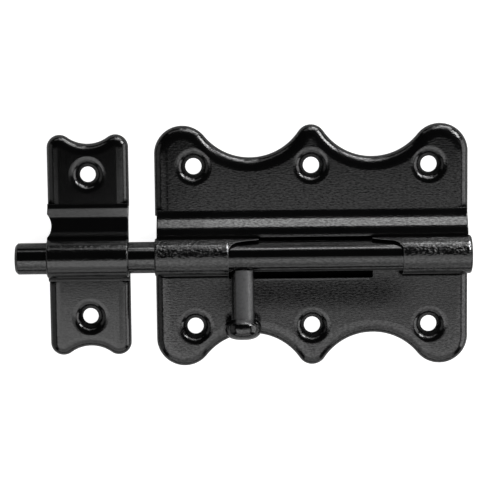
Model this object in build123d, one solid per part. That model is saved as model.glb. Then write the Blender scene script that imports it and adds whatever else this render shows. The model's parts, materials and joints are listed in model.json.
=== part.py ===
from build123d import *

import math
import os

# Surface-mounted barrel bolt of pressed black steel, with the keeper that its bolt shoots into.
# The latch lies on its back on the door plane, Z = 0, in millimetres, with the bolt shot.
# X runs along the bolt towards its tail, Y across the plate, and Z out of the door.
# The origin is the centre of the main plate's screw pattern.

# Pressed sheet
sheet = 1.0
flange_height = 3.0
rim_land = 0.2
rim_margin = 0.4

# Main plate, with three lobes on its long edges
plate_length = 100.0
plate_height = 77.4
corner_lobe_radius = 9.0
middle_lobe_radius = 4.8
plate_valley_depth = 10.3

# Screw holes in pressed seats
plate_hole_from_end = 12.5
plate_hole_from_edge = 12.95
plate_hole_diameter = 5.2
keeper_hole_from_edge = 12.65
keeper_hole_diameter = 5.0
seat_land = 0.4
seat_flare = 2.0
seat_rounding = 3.0

# Bolt, whose axis runs along X
bolt_diameter = 10.0
bolt_axis_y = -2.8
bolt_back_clearance = 0.5
bolt_tip_overhang = 10.0
bolt_tail_inset = 2.5
bolt_tip_chamfer = 0.8
bolt_tail_chamfer = 0.5
bolt_clearance = 0.12

# Barrel of the main plate: a ramp, a step and two sleeves with an open window between them
ramp_foot = 12.85
ramp_head = 8.15
ramp_foot_bend = 5.5
ramp_head_bend = 4.0
ramp_end_rounding = 0.4
step_rise = 0.7
left_sleeve_length = 23.4
right_sleeve_length = 21.3
right_sleeve_overhang = 0.6
sleeve_end_rounding = 0.7
step_left_inset = 0.6
step_right_inset = 0.3
slot_depth = 7.6
tab_length = 9.2
slot_corner_radius = 0.6

# Upper edge of the window, from each sleeve inwards: run from the sleeve and share of the sleeve's radius
window_edge = [(0.0, 0.35), (0.35, 0.57), (1.1, 0.69), (4.8, 0.85), (9.4, 0.945), (16.0, 1.02)]

# Knob, screwed into the side of the bolt
knob_sleeve_gap = 0.8
stem_diameter = 7.2
stem_seat_depth = 0.4
stem_seat_margin = 0.1
spigot_diameter = 5.0
spigot_length = 4.0
head_diameter = 11.8
head_middle = 22.5
head_dome_height = 4.1
head_plate_clearance = 0.45

# Keeper, with two lobes on its short edges and a loop for the bolt
keeper_gap = 8.2
keeper_width = 26.0
keeper_height = 71.0
keeper_centre_y = 0.7
keeper_lobe_radius = 4.1
keeper_valley_depth = 2.9
keeper_clearance = 0.3
keeper_ramp_foot = 16.1
keeper_ramp_crease = 12.4
keeper_ramp_head = 8.6
keeper_crease_drop = 0.7
keeper_bend = 2.8
keeper_cove_radius = 1.5
keeper_notch_depth = 1.5
keeper_notch_height = 7.4
keeper_notch_middle = 10.4

# Sizes that follow from those above
plate_hole_x = plate_length / 2 - plate_hole_from_end
plate_hole_y = plate_height / 2 - plate_hole_from_edge
keeper_hole_y = keeper_height / 2 - keeper_hole_from_edge
plate_rim = middle_lobe_radius - rim_margin
keeper_rim = keeper_lobe_radius - rim_margin
bolt_radius = bolt_diameter / 2
bolt_axis_z = bolt_radius + bolt_back_clearance
step_height = bolt_axis_z + step_rise
stem_radius = stem_diameter / 2
head_radius = head_diameter / 2
plate_left = -plate_length / 2
plate_right = plate_length / 2
window_left = plate_left + left_sleeve_length
window_right = plate_right - right_sleeve_length
slot_right = window_right - tab_length
sleeve_inner_radius = bolt_radius + bolt_clearance
sleeve_outer_radius = sleeve_inner_radius + sheet
keeper_right = plate_left - keeper_gap
keeper_x = keeper_right - keeper_width / 2
keeper_left = keeper_right - keeper_width
loop_inner_radius = bolt_radius + keeper_clearance
loop_outer_radius = loop_inner_radius + sheet
bolt_tip_x = keeper_left - bolt_tip_overhang
bolt_tail_x = plate_right - bolt_tail_inset
knob_x = window_left + knob_sleeve_gap + stem_radius
bolt_travel = slot_right - knob_sleeve_gap - stem_radius - knob_x
tall = 4 * (bolt_axis_z + sleeve_outer_radius)


def polar(centre, radius, degrees):
    """Point at a radius and an angle from a centre."""
    angle = math.radians(degrees)
    return (centre[0] + radius * math.cos(angle), centre[1] + radius * math.sin(angle))


def bearing(start, end):
    """Angle in degrees of the line from one point to another."""
    return math.degrees(math.atan2(end[1] - start[1], end[0] - start[0]))


def hollow_between(left, right, depth, height):
    """Centre and radius of the hollow arc that touches two lobes and dips by a depth below their tops.

    Each lobe is its X place and its radius, and height is that of the lobes' tops.
    """
    (left_x, left_radius), (right_x, right_radius) = left, right
    lean = depth * (left_radius - right_radius) / (right_x - left_x)
    x = (left_x + right_x) / 2 + lean
    radius = ((x - left_x) ** 2 + depth**2) / (2 * depth) - left_radius
    return (x, height - depth + radius), radius


def lobed_face(height, lobes, depth, inset):
    """Plate outline with rounded lobes joined by hollow arcs, moved inwards by an inset.

    lobes lists the X place and the radius of each lobe on the upper edge, from left to right.
    """
    top = height / 2
    upper = []
    entry = 180.0
    for i, (x, radius) in enumerate(lobes):
        centre = (x, top - radius)
        if i + 1 == len(lobes):
            upper.append(CenterArc(centre, radius - inset, entry, -entry))
            break
        hollow, hollow_radius = hollow_between(lobes[i], lobes[i + 1], depth, top)
        leave = bearing(centre, hollow)
        upper.append(CenterArc(centre, radius - inset, entry, leave - entry))
        next_x, next_radius = lobes[i + 1]
        entry = bearing((next_x, top - next_radius), hollow)
        upper.append(CenterArc(hollow, hollow_radius + inset, leave + 180, entry - leave))
    lower = [arc.mirror(Plane.XZ) for arc in upper]
    left = Line(upper[0] @ 0, lower[0] @ 0)
    right = Line(upper[-1] @ 1, lower[-1] @ 1)
    return make_face([*upper, *lower, left, right])


def crowned_block(face, height, rim_width, rim_drop):
    """Block, reaching a sheet's thickness below the door plane, with an upper edge of quarter ellipses."""
    squash = rim_drop / rim_width
    block = extrude(face, (height + sheet) / squash)
    block = fillet(block.edges().group_by(Axis.Z)[-1], rim_width)
    return Pos(0, 0, -sheet) * scale(block, by=(1, 1, squash))


def pressed_tray(height, lobes, depth, rim_width):
    """Sheet plate whose rim is pressed back to the door all round."""
    rim_drop = flange_height - rim_land
    outer = crowned_block(lobed_face(height, lobes, depth, 0), flange_height, rim_width, rim_drop)
    inner_face = lobed_face(height, lobes, depth, sheet)
    inner = crowned_block(inner_face, flange_height - sheet, rim_width - sheet, rim_drop - sheet)
    behind_door = box_between((-tall - plate_length, -height, -tall), (tall + plate_length, height, 0))
    return outer - inner - behind_door


def with_screw_seat(plate, x, y, hole_diameter):
    """Adds a pressed seat for a countersunk screw, whose back meets the door."""
    hole = hole_diameter / 2
    mouth = hole + seat_flare
    depth = flange_height - seat_land
    slope = math.degrees(math.atan2(depth, seat_flare))
    tangent = seat_rounding * math.tan(math.radians(slope / 2))
    arc_centre = (mouth + tangent, flange_height - seat_rounding)
    arc_start = polar(arc_centre, seat_rounding, 90 + slope)
    arc_middle = polar(arc_centre, seat_rounding, 90 + slope / 2)
    arc_end = (mouth + tangent, flange_height)
    well = [
        *Polyline((0, 0), (hole, 0), (hole, seat_land), arc_start).edges(),
        ThreePointArc(arc_start, arc_middle, arc_end),
        *Polyline(arc_end, (arc_end[0], tall), (0, tall), (0, 0)).edges(),
    ]
    boss_height = flange_height - sheet / 2
    boss_flare = seat_flare * boss_height / depth
    base = (Align.CENTER, Align.CENTER, Align.MIN)
    boss = Cone(hole + sheet, hole + sheet + boss_flare, boss_height, align=base)
    cut = revolve(Plane.XZ * make_face(well), Axis.Z)
    return plate + Pos(x, y, 0) * boss - Pos(x, y, 0) * cut


def along_bolt(face, left, right):
    """Extrudes a section drawn in Y and Z between two places along the bolt."""
    return Pos(left, 0, 0) * extrude(Plane.YZ * face, right - left)


def disc(radius):
    """Round section about the bolt's axis."""
    return Pos(bolt_axis_y, bolt_axis_z) * Circle(radius)


def strip(points, bends):
    """Section of bent sheet along a centre line of offsets from the bolt's axis and heights."""
    placed = [(bolt_axis_y + offset, height) for offset, height in points]
    return trace(FilletPolyline(*placed, radius=bends), sheet)


def lead_in(foot, landing, bend):
    """Start of the flat before a bend, from the bend's corner and the corner that follows it."""
    slope = math.atan2(landing[1] - foot[1], foot[0] - landing[0])
    return (foot[0] + bend * math.tan(slope / 2) + rim_land, foot[1])


def ramp_between(section, left, right):
    """Bent strip of sheet along the bolt, with its two ends rounded over."""
    ramp = along_bolt(section, left, right)
    ends = [edge for edge in ramp.edges() if edge.length > 1.5 * sheet and edge.bounding_box().size.X < sheet]
    return fillet(ends, ramp_end_rounding)


def box_between(low, high):
    """Block between two corners."""
    size = [b - a for a, b in zip(low, high)]
    return Pos(*low) * Box(*size, align=(Align.MIN, Align.MIN, Align.MIN))


def rolled_ring(outer, inner, left, right):
    """Sleeve rolled from the step over the front of the bolt and down to the lower flange."""
    roll = along_bolt(disc(outer), left, right)
    roll = fillet(roll.edges().group_by(Axis.X)[0] + roll.edges().group_by(Axis.X)[-1], sleeve_end_rounding)
    ring = roll - along_bolt(disc(inner), left, right)
    above = box_between((left, bolt_axis_y, -tall), (right, bolt_axis_y + tall, step_height - sheet))
    below = box_between((left, bolt_axis_y - tall, -tall), (right, bolt_axis_y, flange_height - sheet))
    return ring - above - below


def open_middle(plate, left, right, foot):
    """Takes out the flat middle of a plate, from the bolt's axis up to the foot of the ramp."""
    return plate - box_between((left, bolt_axis_y, -tall), (right, bolt_axis_y + foot, tall))


def make_plate():
    """Main plate with its ramp, step, two sleeves, window, slot and screw seats."""
    corner_x = plate_length / 2 - corner_lobe_radius
    lobes = [(-corner_x, corner_lobe_radius), (0, middle_lobe_radius), (corner_x, corner_lobe_radius)]
    plate = pressed_tray(plate_height, lobes, plate_valley_depth, plate_rim)
    for x in (-plate_hole_x, 0, plate_hole_x):
        for y in (-plate_hole_y, plate_hole_y):
            plate = with_screw_seat(plate, x, y, plate_hole_diameter)
    plate = open_middle(plate, plate_left, plate_right, ramp_foot)
    foot = (ramp_foot, flange_height - sheet / 2)
    head = (ramp_head, step_height - sheet / 2)
    line = [lead_in(foot, head, ramp_foot_bend), foot, head, (sleeve_inner_radius, head[1])]
    section = strip(line, [ramp_foot_bend, ramp_head_bend])
    ramp = ramp_between(section, plate_left + step_left_inset, plate_right - step_right_inset)
    sleeve_end = plate_right + right_sleeve_overhang
    sleeve = rolled_ring(sleeve_outer_radius, sleeve_inner_radius, plate_left, sleeve_end)
    slot = Pos((window_left + slot_right) / 2, bolt_axis_y - slot_depth / 2) * Rectangle(
        slot_right - window_left, slot_depth
    )
    slot = fillet(slot.vertices().group_by(Axis.Y)[0], slot_corner_radius)
    plate = plate + ramp + sleeve
    plate = plate - Pos(0, 0, flange_height) * extrude(window_face(), tall)
    plate = plate - extrude(slot, tall)
    return plate - along_bolt(disc(sleeve_inner_radius), 2 * plate_left, 2 * plate_right)


def window_face():
    """Outline of the window between the sleeves, whose upper edge arches along the roll."""
    rise = [(run, bolt_axis_y + share * sleeve_outer_radius) for run, share in window_edge]
    left_side = [(window_left + run, y) for run, y in rise]
    right_side = [(window_right - run, y) for run, y in rise]
    left_arch = Spline(*left_side, tangents=[(0, 1), (1, 0)])
    right_arch = Spline(*right_side, tangents=[(0, 1), (-1, 0)])
    floor = bolt_axis_y - sleeve_outer_radius - sheet
    top = Line(left_side[-1], right_side[-1])
    sides = Polyline(right_side[0], (window_right, floor), (window_left, floor), left_side[0])
    return make_face([left_arch, top, right_arch, *sides.edges()])


def make_keeper():
    """Keeper with its ramp, loop, side notch and two screw seats."""
    corner_x = keeper_width / 2 - keeper_lobe_radius
    lobes = [(-corner_x, keeper_lobe_radius), (corner_x, keeper_lobe_radius)]
    place = Pos(keeper_x, keeper_centre_y, 0)
    keeper = place * pressed_tray(keeper_height, lobes, keeper_valley_depth, keeper_rim)
    for y in (keeper_centre_y - keeper_hole_y, keeper_centre_y + keeper_hole_y):
        keeper = with_screw_seat(keeper, keeper_x, y, keeper_hole_diameter)
    keeper = open_middle(keeper, keeper_left, keeper_right, keeper_ramp_foot)
    foot = (keeper_ramp_foot, flange_height - sheet / 2)
    head = (keeper_ramp_head, step_height - sheet / 2)
    crease = (keeper_ramp_crease, head[1] - keeper_crease_drop)
    line = [lead_in(foot, crease, keeper_bend), foot, crease, head, (loop_inner_radius, head[1])]
    ramp = ramp_between(strip(line, keeper_bend), keeper_left, keeper_right)
    loop = rolled_ring(loop_outer_radius, loop_inner_radius, keeper_left, keeper_right)
    cove = along_bolt(keeper_cove(), keeper_left, keeper_right)
    sweep = ((keeper_notch_height / 2) ** 2 + keeper_notch_depth**2) / (2 * keeper_notch_depth)
    notch_x = keeper_left + keeper_notch_depth - sweep
    notch = Pos(notch_x, bolt_axis_y + keeper_notch_middle, 0) * Cylinder(sweep, tall)
    keeper = keeper + (ramp - notch) + loop + cove
    return keeper - along_bolt(disc(loop_inner_radius), 2 * keeper_left, 0)


def keeper_cove():
    """Section of the hollow bend between the keeper's loop and its lower flange."""
    reach = loop_outer_radius + keeper_cove_radius
    drop = bolt_axis_z - flange_height - keeper_cove_radius
    centre = (-math.sqrt(reach**2 - drop**2), -drop)
    touch = (centre[0] * loop_outer_radius / reach, centre[1] * loop_outer_radius / reach)
    root_height = flange_height - sheet / 2 - bolt_axis_z
    root = (-math.sqrt(loop_inner_radius**2 - root_height**2) - sheet / 2, root_height)
    corners = Polyline((centre[0], root_height), root, touch, centre, close=True)
    return Pos(bolt_axis_y, bolt_axis_z) * (make_face(corners) - Pos(*centre) * Circle(keeper_cove_radius))


def knob_plane():
    """Plane of the knob's section, with Y along the stem away from the bolt.

    The stem leans out of the plate until its head clears the flange.
    """
    head_height = flange_height + head_plate_clearance + head_radius
    lean = math.asin((head_height - bolt_axis_z) / head_middle)
    back = (0, -math.sin(lean), -math.cos(lean))
    return Plane((knob_x, bolt_axis_y, bolt_axis_z), x_dir=(1, 0, 0), z_dir=back)


def revolved(section):
    """Turns a section about the knob's axis."""
    plane = knob_plane()
    return revolve(plane * section, Axis(plane.origin, plane.y_dir))


def half_block(radius, start, end):
    """Half section of a cylinder along the knob's axis."""
    return Pos(radius / 2, (start + end) / 2) * Rectangle(radius, end - start)


def make_knob():
    """Turned knob: spigot, stem and a domed head with a rounded shoulder."""
    seat = bolt_radius - stem_seat_depth
    shoulder = head_radius - stem_radius
    foot = (0, seat - spigot_length)
    side = Polyline(
        foot,
        (spigot_diameter / 2, seat - spigot_length),
        (spigot_diameter / 2, seat),
        (stem_radius, seat),
        (stem_radius, head_middle - shoulder),
    )
    rounding = CenterArc((stem_radius, head_middle), shoulder, -90, 90)
    brim = (head_radius, head_middle)
    crown = (0, head_middle + head_dome_height)
    dome = Spline(brim, crown, tangents=[(0, 1), (-1, 0)])
    spine = Line(crown, foot)
    return revolved(make_face([*side.edges(), rounding, dome, spine]))


def make_bolt():
    """Round bolt with chamfered ends and a flat seat and socket for the knob."""
    bolt = along_bolt(disc(bolt_radius), bolt_tip_x, bolt_tail_x)
    bolt = chamfer(bolt.edges().group_by(Axis.X)[0], bolt_tip_chamfer)
    bolt = chamfer(bolt.edges().group_by(Axis.X)[-1], bolt_tail_chamfer)
    seat = bolt_radius - stem_seat_depth
    socket = half_block(spigot_diameter / 2, seat - spigot_length, seat)
    flat = half_block(stem_radius + stem_seat_margin, seat, bolt_diameter)
    return bolt - revolved(socket) - revolved(flat)


parts = {
    "main_plate": make_plate(),
    "keeper": make_keeper(),
    "bolt": make_bolt(),
    "knob": make_knob(),
}

os.makedirs("parts", exist_ok=True)
for name, part in parts.items():
    export_step(part, f"parts/{name}.step")
print(f"bolt travel {bolt_travel:.2f} mm")
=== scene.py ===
"""Studio scene of a black pressed-steel barrel bolt with its keeper, lying on a white table."""

import json
import logging
import math
from dataclasses import dataclass, field
from enum import Enum
from typing import Any

import bmesh
import bpy
from mathutils import Matrix, Vector

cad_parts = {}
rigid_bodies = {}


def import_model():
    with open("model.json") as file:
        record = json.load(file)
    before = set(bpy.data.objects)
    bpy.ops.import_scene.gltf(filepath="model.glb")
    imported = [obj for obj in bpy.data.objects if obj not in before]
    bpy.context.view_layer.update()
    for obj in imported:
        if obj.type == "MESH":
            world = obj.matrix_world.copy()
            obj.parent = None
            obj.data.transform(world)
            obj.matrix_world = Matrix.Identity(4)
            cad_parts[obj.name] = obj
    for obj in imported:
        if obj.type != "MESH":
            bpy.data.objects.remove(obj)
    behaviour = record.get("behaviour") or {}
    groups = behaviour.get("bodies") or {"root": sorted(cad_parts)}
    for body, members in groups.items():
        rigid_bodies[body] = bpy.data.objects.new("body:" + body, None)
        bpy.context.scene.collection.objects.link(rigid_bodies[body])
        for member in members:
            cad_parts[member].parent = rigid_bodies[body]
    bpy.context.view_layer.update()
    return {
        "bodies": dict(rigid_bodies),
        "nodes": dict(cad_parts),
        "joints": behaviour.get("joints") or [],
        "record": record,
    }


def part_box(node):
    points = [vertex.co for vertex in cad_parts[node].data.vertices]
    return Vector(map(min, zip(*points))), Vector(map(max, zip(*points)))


LOG = logging.getLogger("door_latch")
MILLIMETRE = 0.001
WHITE = (1.0, 1.0, 1.0, 1.0)
CEILING_Z = 0.60
BACK_PANEL_Y = 0.70

Triple = tuple[float, float, float]
Pair = tuple[float, float]


class Node(Enum):
    """Pieces of the latch, by the names of their CAD nodes."""

    MAIN_PLATE = "main_plate"
    KEEPER = "keeper"
    BOLT = "bolt"
    KNOB = "knob"


class Detail(Enum):
    """Octaves of a noise, from smooth blotches to crumbled ones."""

    SMOOTH = 1.0
    FINE = 2.0
    CRUMBLED = 3.0


class MixSocket(Enum):
    """Places of the colour sockets on a Mix node."""

    FIRST = 6
    SECOND = 7
    RESULT = 2


class Field:
    """A value on a shader socket that can be used in plain arithmetic."""

    def __init__(self, bench: "ShaderBench", socket: bpy.types.NodeSocket) -> None:
        """Keeps the socket and the bench that its nodes are made on.

        Args:
            bench: The bench that adds the nodes.
            socket: The output socket that carries the value.
        """
        self.bench = bench
        self.socket = socket

    def _math(self, operation: str, first: Any, second: Any) -> "Field":
        """Adds one Math node.

        Args:
            operation: The Math node's operation.
            first: A number or a field.
            second: A number or a field.

        Returns:
            The field of the result.
        """
        return self.bench.node("ShaderNodeMath", {"operation": operation}, {0: first, 1: second})

    def __add__(self, other: Any) -> "Field":
        """Sum."""
        return self._math("ADD", self, other)

    def __radd__(self, other: Any) -> "Field":
        """Sum with a number in front."""
        return self._math("ADD", other, self)

    def __sub__(self, other: Any) -> "Field":
        """Difference."""
        return self._math("SUBTRACT", self, other)

    def __rsub__(self, other: Any) -> "Field":
        """Difference from a number."""
        return self._math("SUBTRACT", other, self)

    def __mul__(self, other: Any) -> "Field":
        """Product."""
        return self._math("MULTIPLY", self, other)

    def __rmul__(self, other: Any) -> "Field":
        """Product with a number in front."""
        return self._math("MULTIPLY", other, self)

    def __abs__(self) -> "Field":
        """Size without the sign."""
        return self._math("ABSOLUTE", self, 0.0)


class ShaderBench:
    """Adds nodes to one node tree."""

    def __init__(self, tree: bpy.types.NodeTree) -> None:
        """Clears the tree and keeps it.

        Args:
            tree: The node tree of a material or of the world.
        """
        self.tree = tree
        tree.nodes.clear()

    def node(
        self,
        kind: str,
        settings: dict[str, Any] | None = None,
        sockets: dict[Any, Any] | None = None,
        output: int | str = 0,
    ) -> Field:
        """Adds a node, sets it and links it.

        Args:
            kind: The node's type.
            settings: The node's own settings, which are set first.
            sockets: Values or fields for its input sockets, by name or place.
            output: The output socket to return, by name or place.

        Returns:
            The field of the chosen output, or of the node's first input where it has no output.
        """
        made = self.tree.nodes.new(kind)
        for name, value in (settings or {}).items():
            setattr(made, name, value)
        for name, value in (sockets or {}).items():
            if isinstance(value, Field):
                self.tree.links.new(value.socket, made.inputs[name])
            else:
                made.inputs[name].default_value = value
        return Field(self, made.outputs[output] if made.outputs else made.inputs[0])

    def noise(self, place: Field, size_mm: float, detail: Detail) -> Field:
        """Adds noise with blotches of a given size.

        Args:
            place: The coordinates that the noise lies on.
            size_mm: Size of the blotches.
            detail: Octaves of the noise.

        Returns:
            The noise as a value from 0 to 1.
        """
        scale = 1.0 / (size_mm * MILLIMETRE)
        sockets = {"Vector": place, "Scale": scale, "Detail": detail.value}
        return self.node("ShaderNodeTexNoise", sockets=sockets)

    def step(self, value: Field, low: float, high: float) -> Field:
        """Adds a smooth step.

        Args:
            value: The value to judge.
            low: Value at which the step starts.
            high: Value at which the step ends.

        Returns:
            The step as a value from 0 to 1.
        """
        return self.node(
            "ShaderNodeMapRange",
            {"interpolation_type": "SMOOTHSTEP"},
            {"Value": value, "From Min": low, "From Max": high},
        )

    def blend(self, share: Field, first: Triple | Field, second: Triple) -> Field:
        """Adds a blend of two colours.

        Args:
            share: Share of the second colour.
            first: The first colour, or its field.
            second: The second colour.

        Returns:
            The blended colour.
        """
        start = first if isinstance(first, Field) else (*first, 1.0)
        sockets = {
            "Factor": share,
            MixSocket.FIRST.value: start,
            MixSocket.SECOND.value: (*second, 1.0),
        }
        return self.node("ShaderNodeMix", {"data_type": "RGBA"}, sockets, output=MixSocket.RESULT.value)


@dataclass
class Canvas:
    """What every layer of one finish is laid on."""

    bench: ShaderBench
    edge_radius: float
    edge_samples: int = 4
    place: Field = field(init=False)
    along: Field = field(init=False)
    across: Field = field(init=False)
    soft_edges: Field = field(init=False)

    def __post_init__(self) -> None:
        """Adds the Object coordinates and the normal that turns smoothly over the edges."""
        self.place = self.bench.node("ShaderNodeTexCoord", output="Object")
        self.along = self.part(self.place, "X")
        self.across = self.part(self.place, "Y")
        self.soft_edges = self.bench.node(
            "ShaderNodeBevel", {"samples": self.edge_samples}, {"Radius": self.edge_radius}
        )

    def part(self, vector: Field, axis: str) -> Field:
        """One part of a vector, by the letter of its axis."""
        return self.bench.node("ShaderNodeSeparateXYZ", sockets={"Vector": vector}, output=axis)

    def openness(self, reach: float, samples: int) -> Field:
        """Share of open space around a point of the piece.

        Args:
            reach: Distance within which the piece's own surfaces count.
            samples: Rays that are sent out.

        Returns:
            The share, 1 on an open surface.
        """
        return self.bench.node(
            "ShaderNodeAmbientOcclusion",
            {"samples": samples, "only_local": True},
            {"Distance": reach},
            output="AO",
        )


@dataclass(frozen=True)
class Enamel:
    """Glossy black enamel with an orange peel drawn out along the sheet, and uneven in patches."""

    name: str
    colour: Triple = (0.0010, 0.0010, 0.0011)
    dulled: Triple = (0.0026, 0.0026, 0.0027)
    patch_mm: float = 14.0
    ior: float = 1.5
    roughness: float = 0.13
    roughness_swing: float = 0.06
    coat: float = 0.05
    coat_swing: float = 0.80
    coat_roughness: float = 0.10
    grain_mm: float = 0.42
    grain_stretch: float = 2.2
    grain_low: float = 0.35
    grain_high: float = 0.65
    peel_mm: float = 0.50
    peel_depth_mm: float = 0.045
    wave_mm: float = 9.0
    wave_depth_mm: float = 0.06
    edge_radius_mm: float = 0.45

    def make(self) -> bpy.types.Material:
        """Makes the material.

        Returns:
            The enamel as a node material on Object coordinates.
        """
        material = bpy.data.materials.new(self.name)
        material.use_nodes = True
        bench = ShaderBench(material.node_tree)
        canvas = Canvas(bench, self.edge_radius_mm * MILLIMETRE)
        bench.node("ShaderNodeOutputMaterial", sockets={"Surface": self._skin(canvas)})
        return material

    def _skin(self, canvas: Canvas) -> Field:
        """Lays the enamel.

        Args:
            canvas: The ground of the finish.

        Returns:
            The enamel's shader.
        """
        patches = canvas.bench.noise(canvas.place, self.patch_mm, Detail.CRUMBLED)
        grain = canvas.bench.noise(self._drawn_out(canvas), self.grain_mm, Detail.FINE)
        gleam = canvas.bench.step(grain, self.grain_low, self.grain_high)
        return canvas.bench.node(
            "ShaderNodeBsdfPrincipled",
            sockets={
                **self._face(canvas, patches),
                "IOR": self.ior,
                "Coat Weight": self.coat + self.coat_swing * gleam,
                "Coat Roughness": self.coat_roughness,
                "Normal": self._surface(canvas),
            },
        )

    def _drawn_out(self, canvas: Canvas) -> Field:
        """Coordinates on which a pattern is longer along the bolt than across it.

        Args:
            canvas: The ground of the finish.

        Returns:
            The stretched coordinates.
        """
        stretch = (1.0 / self.grain_stretch, 1.0, 1.0)
        sockets = {"Vector": canvas.place, "Scale": stretch}
        return canvas.bench.node("ShaderNodeMapping", {"vector_type": "POINT"}, sockets)

    def _face(self, canvas: Canvas, patches: Field) -> dict[str, Field]:
        """Blends the two blacks of the enamel over its patches.

        Args:
            canvas: The ground of the finish.
            patches: Noise of the patches.

        Returns:
            The shader's colour and roughness, by socket.
        """
        colour = canvas.bench.blend(patches, self.colour, self.dulled)
        return {"Base Color": colour, "Roughness": self.roughness + self.roughness_swing * patches}

    def _surface(self, canvas: Canvas) -> Field:
        """Normal of the enamel, with soft edges and the relief.

        Args:
            canvas: The ground of the finish.

        Returns:
            The normal.
        """
        return canvas.bench.node(
            "ShaderNodeBump",
            sockets={
                "Strength": 1.0,
                "Distance": MILLIMETRE,
                "Height": self._relief_mm(canvas),
                "Normal": canvas.soft_edges,
            },
        )

    def _relief_mm(self, canvas: Canvas) -> Field:
        """Height of the orange peel and of the sheet's slow waves.

        Args:
            canvas: The ground of the finish.

        Returns:
            The height in millimetres.
        """
        peel = canvas.bench.noise(self._drawn_out(canvas), self.peel_mm, Detail.SMOOTH)
        waves = canvas.bench.noise(canvas.place, self.wave_mm, Detail.SMOOTH)
        return self.peel_depth_mm * peel + self.wave_depth_mm * waves


@dataclass(frozen=True)
class WearAndPaintedLightEnamel(Enamel):
    """Enamel worn to a dull grey where pieces slide on each other, with the grey also laid as painted
    light by each kind of piece.
    """

    # Grey of the worn enamel; on the plates' edges it is also laid as painted highlight lines.
    wear_and_highlight_grey: Triple = (0.082, 0.082, 0.084)
    wear_and_highlight_roughness: float = 0.42
    streak_mm: float = 0.9
    streak_low: float = 0.7
    streak_swing: float = 0.5

    def _wear_and_painted_light(self, canvas: Canvas) -> Field:
        """Share of the worn grey, given by each kind of piece, which lays it partly as painted light.

        Args:
            canvas: The ground of the finish.

        Returns:
            The share as a value from 0 to 1.
        """
        raise NotImplementedError

    def _face(self, canvas: Canvas, patches: Field) -> dict[str, Field]:
        """Blends the enamel into the worn grey, which is partly painted light.

        Args:
            canvas: The ground of the finish.
            patches: Noise of the patches.

        Returns:
            The shader's colour and roughness, by socket.
        """
        face = super()._face(canvas, patches)
        share = self._wear_and_painted_light(canvas)
        streaks = canvas.bench.noise(canvas.place, self.streak_mm, Detail.FINE)
        uneven = share * (self.streak_low + self.streak_swing * streaks)
        rise = self.wear_and_highlight_roughness - self.roughness
        face["Base Color"] = canvas.bench.blend(uneven, face["Base Color"], self.wear_and_highlight_grey)
        face["Roughness"] = face["Roughness"] + rise * share
        return face


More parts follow.
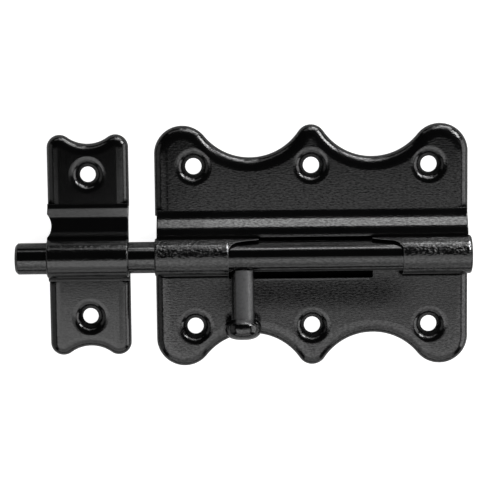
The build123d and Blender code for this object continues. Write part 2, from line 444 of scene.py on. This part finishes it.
@dataclass(frozen=True)
class RolledEnamel(WearAndPaintedLightEnamel):
    """Enamel of a plate with a rolled barrel.

    The upper side of the roll is mottled, painted shade darkens the creases, and the edges along the bolt
    are worn grey, laid as painted highlight lines. The sleeve ends may be chipped to the steel, placed as
    painted highlight crescents, and the sheet may sag below a slot.
    """

    roll_axis_y: float = 0.0
    roll_reach_mm: float = 6.0
    roll_fade_mm: float = 0.5
    roll_depth_mm: float = 0.42
    roll_peel_mm: float = 0.86
    roll_smooth_mm: float = -0.6
    roll_rough_mm: float = 0.9
    edges_reach_mm: float = 8.4
    edge_turn_low: float = 0.010
    edge_turn_high: float = 0.060
    lengthwise_full: float = 0.2
    lengthwise_none: float = 0.5
    # Painted shade: colour, roughness and reach of the near-black matte laid in the sheet's creases.
    crease: Triple = (0.0012, 0.0012, 0.0012)
    crease_roughness: float = 0.9
    crease_specular: float = 0.05
    crease_mm: float = 1.7
    crease_dark: float = 0.88
    crease_clear: float = 0.985
    crease_samples: int = 8
    # Bare steel at the sleeve ends, placed as painted highlight crescents.
    chip_highlight_ends_x: tuple[float, ...] = ()
    steel: Triple = (0.34, 0.34, 0.35)
    chip_highlight_mm: float = 0.32
    chip_highlight_inset_mm: float = 0.30
    chip_highlight_half_mm: float = 2.6
    chip_highlight_rise_mm: float = 3.3
    slot_drop_mm: float = 0.0
    slot_half_mm: float = 18.0
    # Width of the grey line along the slot's edge, a painted highlight line.
    slot_highlight_line_mm: float = 0.65
    slot_highlight_line_core: float = 0.6
    sag_depth_mm: float = 0.0
    sag_start_mm: float = 6.2
    sag_end_mm: float = 18.5
    sag_half_mm: float = 20.0
    sag_fade_mm: float = 16.0

    def _relief_mm(self, canvas: Canvas) -> Field:
        """Adds the roll's mottle and the sag below the slot to the relief.

        Args:
            canvas: The ground of the finish.

        Returns:
            The height in millimetres.
        """
        mottle = canvas.bench.noise(canvas.place, self.roll_peel_mm, Detail.SMOOTH)
        smooth_y = self.roll_axis_y + self.roll_smooth_mm * MILLIMETRE
        rough_y = self.roll_axis_y + self.roll_rough_mm * MILLIMETRE
        upper = canvas.bench.step(canvas.across, smooth_y, rough_y)
        height = super()._relief_mm(canvas)
        height += self.roll_depth_mm * mottle * upper * self._near_axis(canvas, self.roll_reach_mm)
        if self.sag_depth_mm > 0.0:
            height -= self.sag_depth_mm * self._sag(canvas)
        return height

    def _face(self, canvas: Canvas, patches: Field) -> dict[str, Field]:
        """Adds the bare steel of the chipped sleeve ends, placed as painted highlight crescents.

        Args:
            canvas: The ground of the finish.
            patches: Noise of the patches.

        Returns:
            The shader's colour, roughness and, where there are chips, metal, by socket.
        """
        face = super()._face(canvas, patches)
        # Painted highlight: bare steel at each listed sleeve end stands in for the end's highlight
        # crescent.
        for end_x in self.chip_highlight_ends_x:
            share = self._chip_highlight(canvas, end_x)
            face["Base Color"] = canvas.bench.blend(share, face["Base Color"], self.steel)
            face["Metallic"] = face["Metallic"] + share if "Metallic" in face else share
        return face

    def _chip_highlight(self, canvas: Canvas, end_x: float) -> Field:
        """Share of bare steel on the upper side of a sleeve's end, a painted highlight crescent.

        Args:
            canvas: The ground of the finish.
            end_x: Place of the end along the bolt.

        Returns:
            The share as a value from 0 to 1.
        """
        width = self.chip_highlight_mm * MILLIMETRE
        half = self.chip_highlight_half_mm * MILLIMETRE
        centre = self.roll_axis_y + self.chip_highlight_rise_mm * MILLIMETRE
        rounding = canvas.bench.step(abs(canvas.across - centre), 0.0, half)
        reach = (1.0 - rounding) * width
        return canvas.bench.node(
            "ShaderNodeMath",
            {"operation": "LESS_THAN"},
            {0: abs(canvas.along - (end_x - self.chip_highlight_inset_mm * MILLIMETRE)), 1: reach},
        )

    def _near_axis(self, canvas: Canvas, reach_mm: float) -> Field:
        """Share that is 1 near the bolt's axis and 0 away from it.

        Args:
            canvas: The ground of the finish.
            reach_mm: Distance at which the share is a half.

        Returns:
            The share as a value from 0 to 1.
        """
        reach = reach_mm * MILLIMETRE
        fade = self.roll_fade_mm * MILLIMETRE
        return 1.0 - canvas.bench.step(abs(canvas.across - self.roll_axis_y), reach - fade, reach + fade)

    def _sag(self, canvas: Canvas) -> Field:
        """Share of the sheet's sag, which is deepest at the slot's edge.

        Args:
            canvas: The ground of the finish.

        Returns:
            The share as a value from 0 to 1.
        """
        low = self.roll_axis_y - self.sag_end_mm * MILLIMETRE
        high = self.roll_axis_y - self.sag_start_mm * MILLIMETRE
        half = self.sag_half_mm * MILLIMETRE
        ends = canvas.bench.step(abs(canvas.along), half, half + self.sag_fade_mm * MILLIMETRE)
        return canvas.bench.step(canvas.across, low, high) * (1.0 - ends)

    def _wear_and_painted_light(self, canvas: Canvas) -> Field:
        """Share of the worn grey on the edges that run along the bolt, laid there as painted highlight
        lines.

        Args:
            canvas: The ground of the finish.

        Returns:
            The share as a value from 0 to 1.
        """
        # Painted highlight: the edges that run along the bolt are greyed so that they read as highlight
        # lines.
        facing = canvas.bench.node("ShaderNodeNewGeometry", output="True Normal")
        straight = canvas.bench.node(
            "ShaderNodeVectorMath",
            {"operation": "DOT_PRODUCT"},
            {0: facing, 1: canvas.soft_edges},
            output="Value",
        )
        edges = canvas.bench.step(1.0 - straight, self.edge_turn_low, self.edge_turn_high)
        end_facing = abs(canvas.part(facing, "X"))
        lengthwise = 1.0 - canvas.bench.step(end_facing, self.lengthwise_full, self.lengthwise_none)
        share = edges * lengthwise * self._near_axis(canvas, self.edges_reach_mm)
        # Painted highlight: a grey line along the slot's lower edge.
        if self.slot_drop_mm > 0.0:
            share += self._slot_highlight_line(canvas)
        return share

    def _slot_highlight_line(self, canvas: Canvas) -> Field:
        """Share of the worn grey line along the slot that the stem slides by, laid as a painted highlight
        line on the slot's edge.

        Args:
            canvas: The ground of the finish.

        Returns:
            The share as a value from 0 to 1.
        """
        edge_y = self.roll_axis_y - self.slot_drop_mm * MILLIMETRE
        width = self.slot_highlight_line_mm * MILLIMETRE
        half = self.slot_half_mm * MILLIMETRE
        line = 1.0 - canvas.bench.step(abs(canvas.across - edge_y), self.slot_highlight_line_core * width, width)
        return line * (1.0 - canvas.bench.step(abs(canvas.along), half, half + width))

    def _skin(self, canvas: Canvas) -> Field:
        """Lays painted shade in the creases of the sheet, over the enamel.

        Args:
            canvas: The ground of the finish.

        Returns:
            The shader with its painted crease shade.
        """
        # Painted shade: where the piece's own surfaces close in, a near-black matte shader is mixed over
        # the enamel.
        openness = canvas.openness(self.crease_mm * MILLIMETRE, self.crease_samples)
        share = 1.0 - canvas.bench.step(openness, self.crease_dark, self.crease_clear)
        painted_crease_shade = canvas.bench.node(
            "ShaderNodeBsdfPrincipled",
            sockets={
                "Base Color": (*self.crease, 1.0),
                "Roughness": self.crease_roughness,
                "Specular IOR Level": self.crease_specular,
            },
        )
        enamel = super()._skin(canvas)
        return canvas.bench.node("ShaderNodeMixShader", sockets={0: share, 1: enamel, 2: painted_crease_shade})


@dataclass(frozen=True)
class StemEnamel(WearAndPaintedLightEnamel):
    """Enamel of the knob, worn grey along the front of the stem, with the stem's left flank kept dark as
    painted shade.
    """

    streak_low: float = 0.45
    streak_swing: float = 1.0
    stem_x: float = 0.0
    stem_end_y: float = -0.022
    fade_mm: float = 0.5
    # The grey reaches less far left than right, so the stem's left flank stays dark as painted shade.
    left_mm: float = -2.1
    right_mm: float = 3.2

    def _wear_and_painted_light(self, canvas: Canvas) -> Field:
        """Share of the worn grey, which covers the front of the stem and stops at the head; it stops
        short on the left, so that the left flank stays dark as painted shade.

        Args:
            canvas: The ground of the finish.

        Returns:
            The share as a value from 0 to 1.
        """
        fade = self.fade_mm * MILLIMETRE
        stem = canvas.bench.step(canvas.across, self.stem_end_y - fade, self.stem_end_y + fade)
        left = self.stem_x + self.left_mm * MILLIMETRE
        right = self.stem_x + self.right_mm * MILLIMETRE
        from_left = canvas.bench.step(canvas.along, left - fade, left + fade)
        to_right = 1.0 - canvas.bench.step(canvas.along, right - fade, right + fade)
        return stem * from_left * to_right


def dress(frame: dict[str, Any], node: Node, coat: bpy.types.Material) -> None:
    """Gives one piece its finish.

    Args:
        frame: The loaded frame.
        node: The piece.
        coat: Its material.
    """
    piece = frame["nodes"][node.value]
    piece.data.materials.clear()
    piece.data.materials.append(coat)
    LOG.info("%s dressed with %s", node.value, coat.name)


@dataclass
class FixedPlates:
    """Main plate and keeper, pressed from one kind of sheet."""

    frame: dict[str, Any]
    main_sag_depth_mm: float = 0.80
    left_sleeve_mm: float = 23.4
    right_chip_highlight_inset_mm: float = 0.75
    slot_drop_mm: float = 7.6
    keeper_coat: float = 0.28
    keeper_coat_swing: float = 0.35
    keeper_peel_depth_mm: float = 0.015
    keeper_wave_depth_mm: float = 0.04
    keeper_roll_depth_mm: float = 0.06

    def dress(self) -> None:
        """Coats both plates, with the roll placed along the bolt."""
        bolt_low, bolt_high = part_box(Node.BOLT.value)
        plate_low, plate_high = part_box(Node.MAIN_PLATE.value)
        axis_y = (bolt_low[1] + bolt_high[1]) / 2
        left_mouth_x = plate_low[0] + self.left_sleeve_mm * MILLIMETRE
        right_end_x = plate_high[0] - self.right_chip_highlight_inset_mm * MILLIMETRE
        # The main plate's finish carries painted shade in its creases, painted highlight lines along its
        # edges and slot, and painted highlight crescents on its chipped sleeve ends.
        main = RolledEnamel(
            "main_plate_enamel",
            roll_axis_y=axis_y,
            chip_highlight_ends_x=(left_mouth_x, right_end_x),
            slot_drop_mm=self.slot_drop_mm,
            sag_depth_mm=self.main_sag_depth_mm,
        )
        # The keeper's finish carries painted shade in its creases and painted highlight lines along its
        # edges.
        keeper = RolledEnamel(
            "keeper_enamel",
            coat=self.keeper_coat,
            coat_swing=self.keeper_coat_swing,
            peel_depth_mm=self.keeper_peel_depth_mm,
            wave_depth_mm=self.keeper_wave_depth_mm,
            roll_axis_y=axis_y,
            roll_depth_mm=self.keeper_roll_depth_mm,
        )
        dress(self.frame, Node.MAIN_PLATE, main.make())
        dress(self.frame, Node.KEEPER, keeper.make())


@dataclass
class SlidingBolt:
    """Round bolt and the knob screwed into its side."""

    frame: dict[str, Any]
    head_length_mm: float = 6.4
    rod_roughness: float = 0.09
    rod_peel_depth_mm: float = 0.006

    def dress(self) -> None:
        """Coats the bolt and the knob."""
        rod = Enamel(
            "bolt_enamel",
            roughness=self.rod_roughness,
            peel_depth_mm=self.rod_peel_depth_mm,
            wave_depth_mm=0.0,
        )
        dress(self.frame, Node.BOLT, rod.make())
        dress(self.frame, Node.KNOB, self._knob_enamel().make())

    def _knob_enamel(self) -> StemEnamel:
        """Finish of the knob, placed from the low end of its box.

        Returns:
            The worn enamel, with painted shade on the stem's left flank.
        """
        low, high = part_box(Node.KNOB.value)
        return StemEnamel(
            "knob_enamel",
            roughness=self.rod_roughness,
            peel_depth_mm=self.rod_peel_depth_mm,
            wave_depth_mm=0.0,
            stem_x=(low[0] + high[0]) / 2,
            stem_end_y=low[1] + self.head_length_mm * MILLIMETRE,
        )


def flat_sheet(name: str, low: Triple, high: Triple, material: bpy.types.Material) -> bpy.types.Object:
    """Lays a flat staged sheet between two corners of one height.

    Args:
        name: Name of the sheet.
        low: Its lowest corner.
        high: Its highest corner.
        material: Its finish.

    Returns:
        The staged object.
    """
    mesh = bpy.data.meshes.new(name)
    shape = bmesh.new()
    half_of_unit_side = 0.5
    bmesh.ops.create_grid(shape, x_segments=1, y_segments=1, size=half_of_unit_side)
    bmesh.ops.scale(shape, verts=shape.verts, vec=(high[0] - low[0], high[1] - low[1], 1.0))
    bmesh.ops.translate(shape, verts=shape.verts, vec=(Vector(low) + Vector(high)) / 2)
    shape.to_mesh(mesh)
    shape.free()
    mesh.materials.append(material)
    made = bpy.data.objects.new(name, mesh)
    bpy.context.scene.collection.objects.link(made)
    LOG.info("%s laid", name)
    return made


@dataclass(frozen=True)
class WhiteTable:
    """White paper that stays white in the picture and keeps the object's shadow."""

    half_size: float = 3.0
    sink: float = 0.00008
    albedo: float = 0.55
    lift: float = 0.92
    mirrored: float = 0.06
    gap_reach: float = 0.02
    gap_samples: int = 8
    gap_dark: float = 0.45
    gap_clear: float = 0.95

    def build(self) -> bpy.types.Object:
        """Builds the table top just under the latch.

        Returns:
            The table as a staged object.
        """
        low = (-self.half_size, -self.half_size, -self.sink)
        high = (self.half_size, self.half_size, -self.sink)
        return flat_sheet("table", low, high, self._paper())

    def _paper(self) -> bpy.types.Material:
        """Makes the paper, which is lifted to white where the camera sees it and a little where a
        reflection sees it, with the reflected lift darkened as painted shade in the gaps near the latch.

        Returns:
            The paper's material.
        """
        material = bpy.data.materials.new("white_paper")
        material.use_nodes = True
        bench = ShaderBench(material.node_tree)
        seen = bench.node("ShaderNodeLightPath", output="Is Camera Ray")
        glossy = bench.node("ShaderNodeLightPath", output="Is Glossy Ray")
        passed = bench.node("ShaderNodeLightPath", output="Is Transmission Ray")
        tone = (self.albedo, self.albedo, self.albedo, 1.0)
        paper = bench.node("ShaderNodeBsdfDiffuse", sockets={"Color": tone})
        openness = bench.node(
            "ShaderNodeAmbientOcclusion",
            {"samples": self.gap_samples},
            {"Distance": self.gap_reach},
            output="AO",
        )
        # Painted shade: the glow that reflections see is taken away where the paper lies in a gap near
        # the latch.
        clear = bench.step(openness, self.gap_dark, self.gap_clear)
        strength = self.lift * seen + self.mirrored * (glossy + passed) * clear
        glow = bench.node("ShaderNodeEmission", sockets={"Color": WHITE, "Strength": strength})
        both = bench.node("ShaderNodeAddShader", sockets={0: paper, 1: glow})
        bench.node("ShaderNodeOutputMaterial", sockets={"Surface": both})
        return material


@dataclass(frozen=True)
class SlotShadeSheet:
    """Dark sheet under the barrel, seen only through the slot: painted shade for the gap below the bolt.
    """

    # Painted shade: a near-black sheet where the gap under the bolt shows through the slot.
    end_inset: float = 0.020
    below_axis: float = 0.0125
    above_axis: float = 0.0080
    sink: float = 0.00004
    dark: Triple = (0.0010, 0.0010, 0.0010)
    pale: Triple = (0.0040, 0.0040, 0.0040)
    shade_speckle_mm: float = 0.4

    def build(self) -> bpy.types.Object:
        """Lays the strip below the main plate, along the bolt.

        Returns:
            The painted shade sheet as a staged object.
        """
        plate_low, plate_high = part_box(Node.MAIN_PLATE.value)
        bolt_low, bolt_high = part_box(Node.BOLT.value)
        axis_y = (bolt_low[1] + bolt_high[1]) / 2
        low = (plate_low[0] + self.end_inset, axis_y - self.below_axis, -self.sink)
        high = (plate_high[0] - self.end_inset, axis_y + self.above_axis, -self.sink)
        return flat_sheet("slot_shade_sheet", low, high, self._slot_shade_material())

    def _slot_shade_material(self) -> bpy.types.Material:
        """Makes the sheet's near-black painted shade.

        Returns:
            The painted shade's material.
        """
        material = bpy.data.materials.new("painted_slot_shade")
        material.use_nodes = True
        bench = ShaderBench(material.node_tree)
        place = bench.node("ShaderNodeTexCoord", output="Object")
        tone = bench.blend(bench.noise(place, self.shade_speckle_mm, Detail.FINE), self.dark, self.pale)
        slot_shade_sheet = bench.node("ShaderNodeBsdfDiffuse", sockets={"Color": tone})
        bench.node("ShaderNodeOutputMaterial", sockets={"Surface": slot_shade_sheet})
        return material


@dataclass(frozen=True)
class Softbox:
    """Rectangular lamp aimed at a point.

    Its place is given in metres, and its radiance is that of the lit face.
    """

    name: str
    place: Triple
    size: Pair
    radiance: float
    aim: Triple

    def hang(self) -> bpy.types.Object:
        """Hangs the lamp.

        Returns:
            The lamp object.
        """
        lamp = bpy.data.lights.new(self.name, "AREA")
        lamp.shape = "RECTANGLE"
        lamp.size, lamp.size_y = self.size
        lamp.energy = self.radiance * math.pi * self.size[0] * self.size[1]
        made = bpy.data.objects.new(self.name, lamp)
        made.location = self.place
        look = Vector(self.aim) - Vector(self.place)
        made.rotation_mode = "QUATERNION"
        made.rotation_quaternion = look.to_track_quat("-Z", "Y")
        bpy.context.scene.collection.objects.link(made)
        LOG.info("lamp %s hung", self.name)
        return made


def ceiling(name: str, low: Pair, high: Pair, radiance: float) -> Softbox:
    """Softbox under the ceiling, facing down.

    Args:
        name: Name of the lamp.
        low: Its lowest X and Y.
        high: Its highest X and Y.
        radiance: Radiance of its face.

    Returns:
        The softbox.
    """
    x = (low[0] + high[0]) / 2
    y = (low[1] + high[1]) / 2
    size = (high[0] - low[0], high[1] - low[1])
    return Softbox(name, (x, y, CEILING_Z), size, radiance, (x, y, 0.0))


def back_panel(name: str, low: Pair, high: Pair, radiance: float) -> Softbox:
    """Upright softbox on the ramp side of the latch.

    Args:
        name: Name of the lamp.
        low: Its lowest X and Z.
        high: Its highest X and Z.
        radiance: Radiance of its face.

    Returns:
        The softbox.
    """
    x = (low[0] + high[0]) / 2
    z = (low[1] + high[1]) / 2
    size = (high[0] - low[0], high[1] - low[1])
    return Softbox(name, (x, BACK_PANEL_Y, z), size, radiance, (x, 0.0, z))


@dataclass
class Studio:
    """White table, soft lamps and a dim room."""

    room: float = 0.01
    table: WhiteTable = field(default_factory=WhiteTable)
    slot_shade_sheet: SlotShadeSheet = field(default_factory=SlotShadeSheet)
    lamps: list[Softbox] = field(
        default_factory=lambda: [
            ceiling("ceiling_edge", (-0.070, -0.095), (0.60, -0.022), 0.76),
            ceiling("ceiling_edge_left", (-0.60, -0.102), (-0.200, -0.022), 0.40),
            ceiling("ceiling_middle", (-0.070, -0.124), (0.60, -0.095), 0.40),
            ceiling("ceiling_near", (-0.070, -0.55), (0.60, -0.124), 1.42),
            ceiling("ceiling_left", (-0.60, -0.55), (-0.070, -0.102), 1.65),
            ceiling("ceiling_far", (-0.60, -0.95), (0.60, -0.55), 0.9),
            Softbox("wall_panel", (0.0, -0.95, 0.36), (1.4, 0.40), 0.85, (0.0, 0.0, 0.36)),
            Softbox("right_panel", (0.75, -0.10, 0.30), (0.8, 0.5), 1.8, (0.0, -0.10, 0.30)),
            Softbox("left_panel", (-0.75, -0.10, 0.30), (0.8, 0.5), 0.3, (0.0, -0.10, 0.30)),
            back_panel("back_upper", (-0.035, 0.28), (0.50, 0.40), 4.8),
            back_panel("back_upper_left", (-0.10, 0.28), (-0.035, 0.40), 2.9),
            back_panel("back_upper_keeper", (-0.52, 0.28), (-0.10, 0.40), 1.2),
            back_panel("back_top", (-0.10, 0.40), (0.50, 0.50), 1.3),
            back_panel("back_low_right", (0.085, 0.08), (0.50, 0.22), 8.5),
            back_panel("back_low_middle", (-0.035, 0.08), (0.085, 0.22), 0.5),
            back_panel("back_low_left", (-0.10, 0.08), (-0.035, 0.22), 4.6),
            Softbox("side_spot", (0.50, 0.42, 0.34), (0.22, 0.22), 12.0, (0.0, 0.0, 0.0)),
        ]
    )

    def build(self) -> None:
        """Lays the table and the painted shade sheet under the slot, hangs the lamps and sets the room's
        own light.
        """
        self.table.build()
        self.slot_shade_sheet.build()
        for lamp in self.lamps:
            lamp.hang()
        self._paint_room()
        bpy.context.scene.view_settings.view_transform = "Standard"

    def _paint_room(self) -> None:
        """Sets a dim room that the camera sees as white."""
        world = bpy.data.worlds.new("dim_room")
        bpy.context.scene.world = world
        world.use_nodes = True
        bench = ShaderBench(world.node_tree)
        seen = bench.node("ShaderNodeLightPath", output="Is Camera Ray")
        strength = self.room + (1.0 - self.room) * seen
        light = bench.node("ShaderNodeBackground", sockets={"Color": WHITE, "Strength": strength})
        bench.node("ShaderNodeOutputWorld", sockets={"Surface": light})


@dataclass(frozen=True)
class PhotoCamera:
    """Camera above the table, a little to the ramp side of the latch."""

    aim_mm: Triple = (-21.0, -0.12, 0.0)
    distance_mm: float = 600.0
    tilt_degrees: float = 7.0
    roll_degrees: float = -0.634
    pixels: int = 492
    pixels_per_mm: float = 3.1167
    sensor_mm: float = 36.0
    clip_near: float = 0.01
    clip_far: float = 20.0

    def set_up(self) -> bpy.types.Object:
        """Makes the scene's camera.

        Returns:
            The camera object.
        """
        lens = bpy.data.cameras.new("photo_camera")
        lens.sensor_width = self.sensor_mm
        lens.sensor_fit = "HORIZONTAL"
        width_mm = self.pixels / self.pixels_per_mm
        lens.lens = self.sensor_mm * self.distance_mm / width_mm
        lens.clip_start = self.clip_near
        lens.clip_end = self.clip_far
        made = bpy.data.objects.new("photo_camera", lens)
        tilt = math.radians(self.tilt_degrees)
        back = Vector((0.0, math.sin(tilt), math.cos(tilt)))
        place = Vector(self.aim_mm) + self.distance_mm * back
        turn = Matrix.Rotation(-tilt, 4, "X") @ Matrix.Rotation(math.radians(self.roll_degrees), 4, "Z")
        made.matrix_world = Matrix.Translation(place * MILLIMETRE) @ turn
        bpy.context.scene.collection.objects.link(made)
        bpy.context.scene.camera = made
        LOG.info("camera set up")
        return made


def main() -> None:
    """Dresses the latch and builds the studio around it."""
    logging.basicConfig(level=logging.INFO, format="%(name)s: %(message)s")
    for leftover in list(bpy.data.objects):
        bpy.data.objects.remove(leftover)
    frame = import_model()
    FixedPlates(frame).dress()
    SlidingBolt(frame).dress()
    Studio().build()
    PhotoCamera().set_up()
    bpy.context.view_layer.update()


if __name__ == "__main__":
    main()
